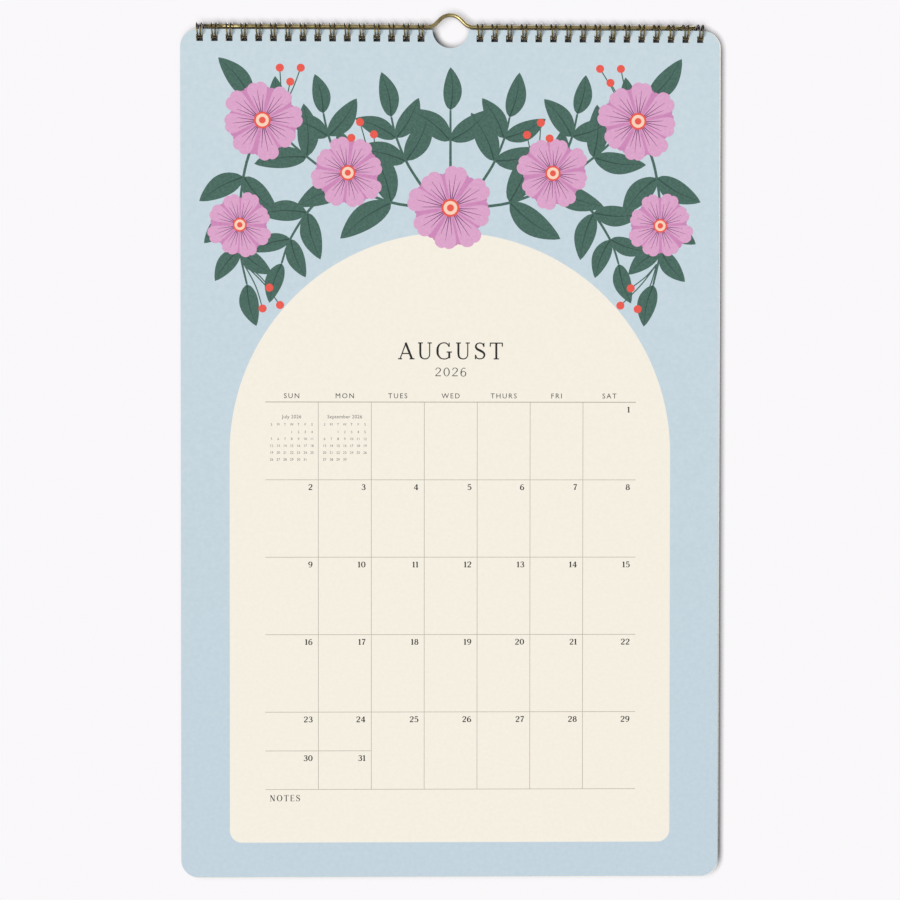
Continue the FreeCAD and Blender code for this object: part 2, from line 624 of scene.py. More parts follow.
def tube(path: Sequence[Vector], radius: float, sides: int) -> bmesh.types.BMesh:
    """A round wire along a path, closed at both ends.

    Args:
        path: Points of its middle line, in millimetres.
        radius: Its radius.
        sides: Faces round it.

    Returns:
        The wire, in metres.
    """
    made = bmesh.new()
    heading = (path[1] - path[0]).normalized()
    up = Vector((0, 1, 0)) if abs(heading.y) < 0.9 else Vector((0, 0, 1))
    side = heading.cross(up).normalized()
    rings = []
    for i, point in enumerate(path):
        ahead = path[min(i + 1, len(path) - 1)] - path[max(i - 1, 0)]
        turned = ahead.normalized()
        side = (side - turned * side.dot(turned)).normalized()
        other = turned.cross(side)
        angles = [2 * math.pi * k / sides for k in range(sides)]
        ring = [made.verts.new((point + (side * math.cos(a) + other * math.sin(a)) * radius) * MM) for a in angles]
        rings.append(ring)
    for first, second in zip(rings, rings[1:]):
        for k in range(sides):
            after = (k + 1) % sides
            made.faces.new((first[k], first[after], second[after], second[k]))
    made.faces.new(list(reversed(rings[0])))
    made.faces.new(rings[-1])
    bmesh.ops.recalc_face_normals(made, faces=made.faces)
    return made


def corner_bend(before: Vector, corner: Vector, after: Vector, count: int) -> list[Vector]:
    """A soft bend from one point to another that leans on the corner between them."""
    shares = [i / count for i in range(count + 1)]
    return [before * (1 - s) ** 2 + corner * 2 * s * (1 - s) + after * s**2 for s in shares]


@dataclass
class TwinLoopWire:
    """One side's binding wire: hairpin fingers joined by links, bent into round loops."""

    side: int
    sizes: SheetSizes
    below_edge: float = 0.4
    wire: float = 0.9
    radius: float = 4.05
    root_spread: float = 1.45
    tip_spread: float = 0.8
    link_set_back: float = 0.4
    tip_short: float = 10.0
    bend: float = 0.7
    step_degrees: float = 11.0
    sides: int = 12

    def on_loop(self, across: float, degrees: float) -> Vector:
        """A point on a loop: 0 at the top, 90 in front, 180 at the foot."""
        turn = math.radians(degrees)
        centre = self.sizes.top - self.below_edge
        return Vector((across, -self.radius * math.sin(turn), centre + self.radius * math.cos(turn)))

    def half_finger(self) -> list[Vector]:
        """Half a finger about across = 0, from the middle of a link to the tip."""
        link_at = 180 + math.degrees(math.asin(self.link_set_back / self.radius))
        tip_at = 360 + link_at - self.tip_short
        bend_turn = math.degrees(self.bend / self.radius)
        link = self.on_loop(0, link_at)
        path = [Vector((-self.sizes.pitch / 2, link.y, link.z))]
        root = Vector((-self.root_spread, link.y, link.z))
        before = root - Vector((self.bend, 0, 0))
        path += corner_bend(before, root, self.on_loop(-self.root_spread, link_at + bend_turn), 5)
        count = int((tip_at - link_at) / self.step_degrees)
        first, last = link_at + bend_turn, tip_at - 1.6 * bend_turn
        for i in range(1, count + 1):
            turn = first + (last - first) * i / count
            share = min(1.0, max(0.0, (turn - 360) / (last - 360)))
            eased = share * share * (3 - 2 * share)
            path.append(self.on_loop(-self.root_spread + (self.root_spread - self.tip_spread) * eased, turn))
        tip = self.on_loop(0, tip_at)
        corner = Vector((-self.tip_spread, tip.y, tip.z))
        path += corner_bend(path[-1], corner, tip, 6)[1:]
        return path

    def path(self) -> list[Vector]:
        """The whole wire's middle line, finger after finger."""
        left = self.half_finger()
        right = [Vector((-p.x, p.y, p.z)) for p in reversed(left[:-1])]
        finger = left + right
        line: list[Vector] = []
        for across in sorted(self.sizes.hole_places(self.side)):
            moved = [Vector((p.x + across, p.y, p.z)) for p in finger]
            line += moved if not line else moved[1:]
        return line

    def build(self, finish: bpy.types.Material) -> None:
        """Makes the wire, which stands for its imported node."""
        name = "left_binding_wire" if self.side < 0 else "right_binding_wire"
        solid = tube(self.path(), self.wire / 2, self.sides)
        made = Piece.from_bmesh(solid, name.replace("binding", "twin_loop"), finish, smooth=True)
        Piece.seat(made, Body.BINDING, Slot.BINDING, [name])


@dataclass
class HangerWire:
    """The hanger: straight arms through the loops and a bell-shaped arch for the nail."""

    arm_end: float
    arm_height: float
    diameter: float = 2.3
    half_width: float = 13.0
    flank: float = 45.0
    top_share: float = 0.55
    sides: int = 18
    arc_steps: int = 10
    arm_step: float = 20.0

    @classmethod
    def from_frame(cls) -> "HangerWire":
        """Reads the arms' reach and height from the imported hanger."""
        low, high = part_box("hanger")
        return cls(high.x / MM, low.z / MM + cls.diameter / 2)

    def path(self) -> list[Vector]:
        """The wire's middle line from the left end to the right one."""
        flank = math.radians(self.flank)
        rise = self.diameter / 2 - self.arm_height
        bend = 1 - math.cos(flank)
        both = (self.half_width - rise / math.tan(flank)) / (math.sin(flank) - bend / math.tan(flank))
        top = both * self.top_share
        foot = both - top
        count = 1 + int((self.arm_end - self.half_width - 1) / self.arm_step)
        line = [Vector((-self.arm_end + self.arm_step * i, 0, self.arm_height)) for i in range(count)]
        for i in range(self.arc_steps + 1):
            a = flank * i / self.arc_steps
            line.append(Vector((-self.half_width + foot * math.sin(a), 0, self.arm_height + foot * (1 - math.cos(a)))))
        summit = self.diameter / 2
        for i in range(self.arc_steps + 1):
            a = flank * (1 - i / self.arc_steps)
            line.append(Vector((-top * math.sin(a), 0, summit - top * (1 - math.cos(a)))))
        return line + [Vector((-p.x, p.y, p.z)) for p in reversed(line[:-1])]

    def build(self, finish: bpy.types.Material) -> None:
        """Makes the wire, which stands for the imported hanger."""
        made = Piece.from_bmesh(tube(self.path(), self.diameter / 2, self.sides), "hanger_wire", finish, smooth=True)
        Piece.seat(made, Body.HANGER, Slot.HANGER, ["hanger"])


@dataclass
class PrintPress:
    """Lays print on the open leaf, one thin layer over another."""

    surface: LeafBow
    layer: float = 0.012
    film: float = 0.01

    def lay(self, name: str, shape: FlatShape, level: int, finish: bpy.types.Material) -> None:
        """Prints one shape.

        Args:
            name: The piece's name.
            shape: What is printed.
            level: Its place in the order of layers, from 1.
            finish: The ink.
        """
        solid = self.surface.solid(shape, level * self.layer, self.film)
        Piece.seat(Piece.from_bmesh(solid, name, finish), Body.COMING, Slot.PRINTED)


def smooth_line(points: Sequence[Point], steps: int = 6) -> Loop:
    """A smooth curve through points, with even steps between neighbours."""
    line: Loop = []
    for i in range(len(points) - 1):
        before = points[max(i - 1, 0)]
        after = points[min(i + 2, len(points) - 1)]
        here, there = points[i], points[i + 1]
        for k in range(steps):
            s = k / steps
            line.append(tuple(
                0.5 * (2 * here[a] + (there[a] - before[a]) * s
                       + (2 * before[a] - 5 * here[a] + 4 * there[a] - after[a]) * s**2
                       + (3 * here[a] - before[a] - 3 * there[a] + after[a]) * s**3)
                for a in (0, 1)
            ))
    return line + [points[-1]]


def smooth_values(values: Sequence[float], steps: int = 6) -> list[float]:
    """Values that pass evenly from one to the next, to go with a smooth line."""
    places = [i / steps for i in range((len(values) - 1) * steps + 1)]
    return [float(v) for v in np.interp(places, range(len(values)), values)]


FIGURE_UNITS = 100


@dataclass(frozen=True)
class Stroke:
    """One pen stroke of a figure, in hundredths of its height, with x right and y up."""

    points: tuple[Point, ...]
    widths: tuple[float, ...]
    curved: bool = False

    def add_to(self, shape: FlatShape, place: Callable[[Point], Point], face: "SerifType") -> None:
        """Draws the stroke as a band."""
        line = smooth_line(self.points) if self.curved else list(self.points)
        widths = smooth_values(self.widths) if self.curved else list(self.widths)
        shape.add_band([place(p) for p in line],
                       [max(w / FIGURE_UNITS * face.weight, face.finest) * face.size for w in widths])


def bar(x0: float, y0: float, x1: float, y1: float, width: float) -> Stroke:
    """A straight stroke."""
    return Stroke(((x0, y0), (x1, y1)), (width, width))


def curve(points: Sequence[Point], widths: Sequence[float]) -> Stroke:
    """A curved stroke."""
    return Stroke(tuple(points), tuple(widths), True)


def oval(cx: float, cy: float, rx: float, ry: float, thick: float, thin: float) -> Stroke:
    """A closed oval stroke with thick flanks."""
    angles = [math.radians(90 + 15 * i) for i in range(25)]
    points = tuple((cx + rx * math.cos(a), cy + ry * math.sin(a)) for a in angles)
    widths = tuple(thin + (thick - thin) * abs(math.cos(a)) ** 1.5 for a in angles)
    return Stroke(points, widths)


SIX = (
    ((50, 88), (40, 97), (27, 93), (15, 72), (10, 45), (12, 18), (22, 3),
     (33, 0), (47, 8), (54, 29), (48, 50), (34, 58), (20, 52), (13, 38)),
    (9, 5, 5, 10, 13, 12, 7, 5, 10, 13, 9, 5, 5, 5),
)

FIGURES: dict[str, tuple[float, tuple[Stroke, ...]]] = {
    "0": (66, (oval(33, 50, 24, 48, 13, 5),)),
    "1": (42, (bar(22, 0, 22, 100, 13), bar(5, 84, 20, 97, 6), bar(6, 2.5, 38, 2.5, 5))),
    "2": (62, (
        curve(((9, 72), (14, 91), (30, 98), (47, 90), (52, 72), (43, 52), (25, 30),
               (7, 7)),
              (10, 7, 5, 10, 13, 10, 7, 6)),
        bar(5, 5, 56, 5, 10),
    )),
    "3": (61, (
        curve(((10, 80), (19, 94), (32, 98), (46, 90), (49, 75), (41, 60), (26, 54)),
              (9, 6, 5, 9, 12, 9, 5)),
        curve(((26, 54), (44, 47), (53, 29), (47, 9), (31, 2), (15, 5), (8, 20)),
              (5, 9, 13, 10, 5, 7, 10)),
    )),
    "4": (68, (bar(43, 100, 5, 30, 5.5), bar(3, 28, 64, 28, 7), bar(44, 0, 44, 100, 13),
                 bar(30, 2.5, 58, 2.5, 5))),
    "5": (61, (
        bar(12, 95, 51, 95, 10), bar(14, 96, 11, 54, 5.5),
        curve(((11, 53), (22, 60), (36, 60), (49, 48), (53, 30), (45, 10), (30, 2),
               (15, 4), (8, 17)),
              (5, 6, 7, 11, 13, 10, 5, 6, 9)),
    )),
    "6": (64, (curve(*SIX),)),
    "7": (58, (
        bar(6, 95, 55, 95, 10),
        curve(((53, 93), (40, 64), (29, 34), (24, 0)), (6, 8, 12, 14)),
    )),
    "8": (62, (oval(31, 75, 18, 22, 11, 5), oval(31, 27, 22, 25, 13, 5))),
    "9": (64, (curve([(64 - x, 98 - y) for x, y in SIX[0]], SIX[1]),)),
    "A": (86, (bar(9, 0, 43, 100, 5), bar(40, 100, 76, 0, 13),
                 bar(20, 34, 62, 34, 4.5),
                 bar(-2, 2, 21, 2, 4), bar(62, 2, 90, 2, 4))),
    "E": (72, (bar(17, 0, 17, 100, 12), bar(6, 98, 62, 98, 4), bar(17, 51, 50, 51, 4.5),
                 bar(6, 2, 64, 2, 4), bar(61, 100, 61, 80, 4.5),
                 bar(50, 62, 50, 40, 4),
                 bar(64, 0, 64, 22, 4.5))),
    "G": (90, (
        curve(((73, 78), (62, 94), (45, 99), (25, 92), (12, 72), (10, 50), (12, 28),
               (26, 7), (46, 1), (62, 4), (74, 14)),
              (5, 5, 4.5, 8, 12, 14, 12, 8, 4.5, 4.5, 5)),
        bar(75, 5, 75, 43, 12), bar(60, 43, 90, 43, 4), bar(74.5, 100, 74.5, 74, 4.5),
    )),
    "N": (88, (bar(15, 0, 15, 100, 5), bar(14, 98, 72, 2, 13), bar(73, 0, 73, 100, 5),
                 bar(2, 2, 28, 2, 4), bar(2, 98, 20, 98, 4),
                 bar(60, 98, 86, 98, 4))),
    "O": (92, (oval(46, 50, 36, 48, 14, 4.5),)),
    "S": (68, (
        curve(((55, 77), (48, 93), (33, 98), (17, 92), (11, 77), (18, 62), (35, 52),
               (52, 41), (59, 25), (51, 8), (34, 2), (17, 7), (10, 25)),
              (5, 5, 4.5, 8, 11, 13, 14, 13, 11, 8, 4.5, 5, 5)),
        bar(56, 99, 56, 74, 4.5), bar(9, 0, 9, 27, 4.5),
    )),
    "T": (78, (bar(39, 0, 39, 100, 12), bar(5, 97.5, 73, 97.5, 5),
                 bar(5.5, 99, 5.5, 76, 4.5), bar(72.5, 99, 72.5, 76, 4.5), bar(24, 2, 54, 2, 4))),
    "U": (86, (
        bar(18, 100, 18, 36, 12), bar(70, 100, 70, 36, 5),
        curve(((18, 37), (21, 16), (31, 5), (45, 1.5), (59, 6), (68, 18), (70, 37)),
              (12, 11, 8, 5.5, 5, 5, 5)),
        bar(5, 98, 32, 98, 4), bar(58, 98, 82, 98, 4),
    )),
}


@dataclass
class SerifType:
    """Sets figures and capitals of a plain book face, drawn stroke by stroke.

    The gap between characters and the finest stroke are shares of the size, which is the figures' height.
    """

    size: float
    gap: float = 0.08
    weight: float = 1.0
    wide: float = 1.0
    finest: float = 0.04

    def width(self, text: str) -> float:
        """How wide a line of text comes out."""
        across = sum(FIGURES[c][0] for c in text) / FIGURE_UNITS
        return (across * self.wide + self.gap * (len(text) - 1)) * self.size

    def set_line(self, shape: FlatShape, text: str, left: float, foot: float) -> None:
        """Sets one line from its left end on its base line."""
        pen = left
        for character in text:
            advance, strokes = FIGURES[character]
            start = pen

            def place(p: Point, start: float = start) -> Point:
                return (start + p[0] / FIGURE_UNITS * self.wide * self.size, foot - p[1] / FIGURE_UNITS * self.size)

            for stroke in strokes:
                stroke.add_to(shape, place, self)
            pen += (advance / FIGURE_UNITS * self.wide + self.gap) * self.size


@dataclass
class PlainType:
    """Sets small lines in Blender's own plain face."""

    cap: float
    spacing: float = 1.0
    cap_share: float = 0.729

    def set_line(self, shape: FlatShape, text: str, middle: float, foot: float) -> None:
        """Sets one line about its middle on its base line."""
        data = bpy.data.curves.new("line_of_type", "FONT")
        data.body = text
        data.size = self.cap / self.cap_share
        data.space_character = self.spacing
        data.align_x = "CENTER"
        data.resolution_u = 3
        made = bpy.data.objects.new("line_of_type", data)
        mesh = made.to_mesh()
        flat = FlatShape([(v.co.x, v.co.y) for v in mesh.vertices], [tuple(p.vertices) for p in mesh.polygons])
        made.to_mesh_clear()
        bpy.data.objects.remove(made)
        bpy.data.curves.remove(data)
        shape.add_shape(flat, lambda p: (middle + p[0], foot - p[1]))


@dataclass(frozen=True)
class Month:
    """A month of the year: how many days it has and the weekday of its first one."""

    name: str
    days: int
    first: int

    def cells(self) -> Iterable[tuple[int, int, int]]:
        """Each day with its row and column."""
        for day in range(1, self.days + 1):
            row, column = divmod(self.first + day - 1, 7)
            yield day, row, column


@dataclass
class MonthTable:
    """The ruled table of the open month, its heading and the two small months.

    Heights are measured down from the leaf's top edge, to the foot of a line of type.
    """

    left: float = -106.54
    column: float = 30.52
    header: float = 213.7
    rows: tuple[float, ...] = (258.5, 303.15, 347.85, 392.6)
    foot: float = 437.3
    half_row: float = 415.0
    rule: float = 0.3
    header_rule: float = 0.44
    date_inset: float = 3.3
    date_drop: float = 5.8
    middle: float = 0.3
    month_foot: float = 188.95
    year_foot: float = 198.8
    notes: Point = (-104.0, 444.1)
    weekday_foot: float = 211.5
    small_title_foot: float = 223.1
    small_letter_foot: float = 227.3
    small_date_foot: float = 231.65
    small_pitch: float = 3.88
    small_line: float = 3.96
    year: str = "2026"
    month: Month = Month("AUGUST", 31, 6)
    small: tuple[Month, ...] = (Month("July 2026", 31, 3), Month("September 2026", 30, 2))

    def rules(self) -> FlatShape:
        """The thin ruled lines."""
        shape = FlatShape()
        right = self.left + 7 * self.column
        shape.add_band([(self.left, self.header), (right, self.header)], [self.header_rule] * 2)
        for down in (*self.rows, self.foot):
            shape.add_band([(self.left, down), (right, down)], [self.rule] * 2)
        shape.add_band([(self.left, self.half_row), (self.left + 2 * self.column, self.half_row)], [self.rule] * 2)
        for i in range(1, 7):
            across = self.left + i * self.column
            shape.add_band([(across, self.header), (across, self.foot)], [self.rule] * 2)
        return shape

    def dates(self) -> FlatShape:
        """The day numbers, at the top right of their cells."""
        shape = FlatShape()
        face = SerifType(3.2, weight=1.75, wide=1.25, finest=0.1)
        tops = (self.header, *self.rows)
        for day, row, column in self.month.cells():
            top = self.half_row if row > 4 else tops[row]
            right = self.left + (column + 1) * self.column - self.date_inset
            face.set_line(shape, str(day), right - face.width(str(day)), top + self.date_drop)
        return shape

    def heading(self) -> FlatShape:
        """The month's name, the year and the word over the space for notes."""
        shape = FlatShape()
        title = SerifType(9.5, gap=0.196, weight=1.05, wide=1.09, finest=0.07)
        title.set_line(shape, self.month.name, self.middle - title.width(self.month.name) / 2, self.month_foot)
        year = SerifType(4.9, gap=0.18, weight=0.95, wide=1.27, finest=0.075)
        year.set_line(shape, self.year, self.middle - year.width(self.year) / 2, self.year_foot)
        SerifType(3.6, gap=0.22, weight=1.25).set_line(shape, "NOTES", *self.notes)
        return shape

    def weekdays(self) -> FlatShape:
        """The weekdays' short names over their columns."""
        shape = FlatShape()
        face = PlainType(3.0, 1.3)
        for i, name in enumerate(("SUN", "MON", "TUES", "WED", "THURS", "FRI", "SAT")):
            face.set_line(shape, name, self.left + (i + 0.5) * self.column, self.weekday_foot)
        return shape

    def small_months(self) -> FlatShape:
        """The months before and after, set small in the first two cells."""
        shape = FlatShape()
        title, figure = PlainType(2.1, 1.05), PlainType(1.5)
        for i, month in enumerate(self.small):
            middle = self.left + (i + 0.5) * self.column
            title.set_line(shape, month.name, middle, self.small_title_foot)
            for k, letter in enumerate("SMTWTFS"):
                figure.set_line(shape, letter, middle + (k - 3) * self.small_pitch, self.small_letter_foot)
            for day, row, column in month.cells():
                foot = self.small_date_foot + row * self.small_line
                figure.set_line(shape, str(day), middle + (column - 3) * self.small_pitch, foot)
        return shape

    def build(self, press: PrintPress, inks: "Inks") -> None:
        """Prints the table."""
        press.lay("table_rules", self.rules(), 2, inks.rule)
        press.lay("table_dates", self.dates(), 2, inks.black)
        press.lay("table_heading", self.heading(), 2, inks.black)
        press.lay("table_weekdays", self.weekdays(), 2, inks.black)
        press.lay("table_small_months", self.small_months(), 2, inks.grey)


@dataclass
class Inks:
    """The inks of the open leaf."""

    cream: bpy.types.Material
    green: bpy.types.Material
    dark_green: bpy.types.Material
    pink: bpy.types.Material
    deep_pink: bpy.types.Material
    plum: bpy.types.Material
    coral: bpy.types.Material
    pale: bpy.types.Material
    black: bpy.types.Material
    grey: bpy.types.Material
    rule: bpy.types.Material

    @classmethod
    def mixed(cls) -> "Inks":
        """Makes every ink."""
        return cls(
            cream=InkFinish("cream_ink", linear(247, 241, 228), 0.012, 500.0).material(),
            green=InkFinish("green_ink", linear(72, 104, 94), 0.14).material(),
            dark_green=InkFinish("dark_green_ink", linear(50, 78, 70), 0.1).material(),
            pink=InkFinish("pink_ink", linear(221, 166, 203), 0.05).material(),
            deep_pink=InkFinish("deep_pink_ink", linear(206, 138, 186), 0.05).material(),
            plum=InkFinish("plum_ink", linear(118, 62, 110), 0.06).material(),
            coral=InkFinish("coral_ink", linear(236, 92, 80), 0.05).material(),
            pale=InkFinish("pale_ink", linear(250, 214, 190), 0.03).material(),
            black=InkFinish("black_ink", linear(30, 29, 29), 0.1).material(),
            grey=InkFinish("grey_ink", linear(92, 90, 88), 0.1).material(),
            rule=InkFinish("rule_ink", linear(174, 165, 154), 0.08).material(),
        )


@dataclass
class ArchPanel:
    """The plain cream field behind the table, with a round arched head."""

    half: float = 127.0
    spring: float = 243.0
    foot: float = 468.0
    corner: float = 7.0

    def shape(self) -> FlatShape:
        """The field's outline, filled."""
        made = FlatShape()
        edge = circle_points((0, self.spring), self.half, 72, 180, 180)
        edge += circle_points((self.half - self.corner, self.foot - self.corner), self.corner, 8, 0, 90)
        edge += circle_points((self.corner - self.half, self.foot - self.corner), self.corner, 8, 90, 90)
        made.add_outline(edge)
        return made


@dataclass
class Ornament:
    """The layers of the painted garland.

    The sizes of a leaf's and a flower's parts are shares of its length or radius.
    """

    stems: FlatShape = field(default_factory=FlatShape)
    leaves: FlatShape = field(default_factory=FlatShape)
    ribs: FlatShape = field(default_factory=FlatShape)
    back_petals: FlatShape = field(default_factory=FlatShape)
    petals: FlatShape = field(default_factory=FlatShape)
    veins: FlatShape = field(default_factory=FlatShape)
    hearts: FlatShape = field(default_factory=FlatShape)
    rings: FlatShape = field(default_factory=FlatShape)
    dots: FlatShape = field(default_factory=FlatShape)
    petal_edge: tuple[Point, ...] = (
        (0.12, 0.035), (0.30, 0.085), (0.50, 0.165), (0.68, 0.235), (0.82, 0.262),
        (0.92, 0.232), (0.985, 0.145), (0.995, 0.06), (0.965, 0.0),
    )
    leaf_steps: int = 14
    leaf_bend: float = 0.05
    leaf_belly: tuple[float, float] = (0.82, 0.8)
    rib_reach: tuple[float, float] = (0.03, 0.93)
    rib_widths: tuple[float, float] = (0.87, 0.12)
    back_petals_share: float = 0.88
    petal_wobble: tuple[float, float] = (0.045, 2.3)
    petal_sway: tuple[float, float] = (2.5, 1.7)
    vein_lines: tuple[Point, ...] = ((0.80, 0.0), (0.66, 0.11), (0.66, -0.11))
    vein_width: float = 0.026
    seeds: int = 9
    seed_ring: float = 0.19
    seed_share: float = 0.028

    def leaf(self, root: Point, degrees: float, length: float, width: float) -> None:
        """Adds one leaf that grows from a point; 0 degrees points right, 90 down the page."""
        place = self.turned_about(root, 1.0, math.radians(degrees))
        forward, fullness = self.leaf_belly
        shares = [i / self.leaf_steps for i in range(self.leaf_steps + 1)]
        spine = [(length * u, self.leaf_bend * length * math.sin(math.pi * u)) for u in shares]
        half = [width / 2 * math.sin(math.pi * u**forward) ** fullness for u in shares]
        upper = [(x, y - h) for (x, y), h in zip(spine, half)]
        lower = [(x, y + h) for (x, y), h in zip(spine, half)][1:-1]
        self.leaves.add_outline([place(p) for p in upper + lower[::-1]])
        (low, high), (root_width, tip_width) = self.rib_reach, self.rib_widths
        rib = [(x * (high - low) + low * length, y) for x, y in spine]
        self.ribs.add_band([place(p) for p in rib], [(root_width - tip_width) * (1 - u) + tip_width for u in shares])

    def stem(self, points: Sequence[Point], thick: float = 1.7, thin: float = 1.1) -> Loop:
        """Adds a stem and returns its line."""
        line = smooth_line(points)
        count = len(line) - 1
        self.stems.add_band(line, [thick + (thin - thick) * i / count for i in range(count + 1)])
        return line

    def sprig(self, points: Sequence[Point], pairs: int, length: float, width: float, start: float = 0.12) -> None:
        """Adds a stem with pairs of leaves and one leaf at its tip.

        Args:
            points: The stem's way over the leaf.
            pairs: How many pairs of leaves stand along it.
            length: The length of the first pair; the next ones are shorter.
            width: The width of the first pair.
            start: Where on the stem the first pair stands, as a share of it.
        """
        line = self.stem(points)
        last = len(line) - 1
        for k in range(pairs):
            i = int(last * (start + (0.9 - start) * k / max(1, pairs - 0.4)))
            (x0, y0), (x1, y1) = line[i], line[min(i + 1, last)]
            heading = math.degrees(math.atan2(y1 - y0, x1 - x0))
            size = 1.0 - 0.3 * k / pairs
            for side in (-1, 1):
                self.leaf(line[i], heading + side * (52 - 10 * k / pairs), length * size, width * size)
        (x0, y0), (x1, y1) = line[-2], line[-1]
        self.leaf(line[-1], math.degrees(math.atan2(y1 - y0, x1 - x0)), length * 0.85, width * 0.85)

    def berries(self, places: Sequence[Point], root: Point, radius: float = 2.3) -> None:
        """Adds round berries on thin stalks from one point."""
        for x, y in places:
            middle = ((root[0] + x) / 2 + 1.5, (root[1] + y) / 2)
            self.stem([root, middle, (x, y)], 0.8, 0.6)
            self.dots.add_outline(circle_points((x, y), radius, 20))

    def flower(self, centre: Point, radius: float, degrees: float = 0.0, count: int = 8) -> None:
        """Adds a round many-petalled flower, whose petals differ a little in length and heading."""
        edge = smooth_line(self.petal_edge, 4)
        outline = edge + [(u, -v) for u, v in reversed(edge[:-1])]
        (wobble, wobble_beat), (sway, sway_beat) = self.petal_wobble, self.petal_sway
        for layer, turn_by, grow in ((self.back_petals, 180 / count, self.back_petals_share), (self.petals, 0.0, 1.0)):
            for k in range(count):
                reach = 1 + wobble * math.sin(wobble_beat * k + radius + centre[0])
                heading = degrees + turn_by + 360 * k / count + sway * math.sin(sway_beat * k + centre[1])
                place = self.turned_about(centre, radius * grow * reach, math.radians(heading))
                layer.add_outline([place(p) for p in outline])
                if layer is self.petals:
                    self.petal_veins(place, radius)
        for layer, share, corners in ((self.hearts, 0.215, 32), (self.rings, 0.165, 28), (self.dots, 0.085, 20)):
            layer.add_outline(circle_points(centre, radius * share, corners))
        for k in range(self.seeds):
            turn, out = math.radians(degrees + 360 / self.seeds * k), radius * self.seed_ring
            spot = (centre[0] + out * math.cos(turn), centre[1] + out * math.sin(turn))
            self.dots.add_outline(circle_points(spot, radius * self.seed_share, 8))

    @staticmethod
    def turned_about(centre: Point, scale: float, turn: float) -> Callable[[Point], Point]:
        """How a shape's own points come to lie on the leaf when it grows from a point and is turned."""
        c, s = math.cos(turn) * scale, math.sin(turn) * scale
        return lambda p: (centre[0] + p[0] * c - p[1] * s, centre[1] + p[0] * s + p[1] * c)

    def petal_veins(self, place: Callable[[Point], Point], radius: float) -> None:
        """Adds three thin veins to a petal."""
        for reach, side in self.vein_lines:
            line = smooth_line([(0.20, side * 0.25), (0.42, side * 0.7), (reach, side * 1.25)], 4)
            count = len(line) - 1
            widths = [radius * self.vein_width * (1 - 0.75 * i / count) for i in range(count + 1)]
            self.veins.add_band([place(p) for p in line], widths)

    def garland(self) -> None:
        """Draws the whole garland: a swag across, sprigs up and down, and flowers on it."""
        for side in (-1, 1):
            def at(x: float, y: float, side: int = side) -> Point:
                return (side * x, y)

            self.sprig([at(6, 102), at(34, 99), at(62, 87), at(86, 70), at(104, 52), at(114, 40)], 4, 36, 14.5, 0.2)
            self.sprig([at(108, 54), at(117, 76), at(121, 102), at(121, 126), at(117, 146)], 3, 29, 13, 0.34)
            self.sprig([at(64, 88), at(80, 102), at(92, 120), at(97, 134)], 2, 28, 12, 0.4)
            self.sprig([at(12, 96), at(24, 78), at(31, 62), at(34, 50)], 2, 31, 13, 0.42)
            self.sprig([at(60, 82), at(69, 64), at(73, 48)], 1, 27, 12, 0.62)
            self.berries([at(44, 60), at(52, 53), at(57, 62)], at(46, 88))
            self.berries([at(92, 30), at(98, 22), at(86, 22)], at(100, 50))
            self.berries([at(104, 148), at(108, 160), at(98, 158)], at(119, 134))
            self.flower(at(59, 82), 20.5, 14 * side)
            self.flower(at(108, 52), 22.5, 8 * side)
            self.flower(at(121, 112), 18.5, 20 * side)
        self.sprig([(0, 98), (0, 76), (0, 58), (0, 46)], 1, 29, 12.5, 0.6)
        self.flower((0, 102), 24.0, 11)

    def build(self, press: PrintPress, inks: Inks) -> None:
        """Draws and prints the garland."""
        self.garland()
        press.lay("garland_stems", self.stems, 2, inks.green)
        press.lay("garland_leaves", self.leaves, 3, inks.green)
        press.lay("garland_ribs", self.ribs, 4, inks.dark_green)
        press.lay("garland_back_petals", self.back_petals, 5, inks.deep_pink)
        press.lay("garland_petals", self.petals, 6, inks.pink)
        press.lay("garland_veins", self.veins, 7, inks.plum)
        press.lay("garland_hearts", self.hearts, 8, inks.coral)
        press.lay("garland_rings", self.rings, 9, inks.pale)
        press.lay("garland_dots", self.dots, 10, inks.coral)


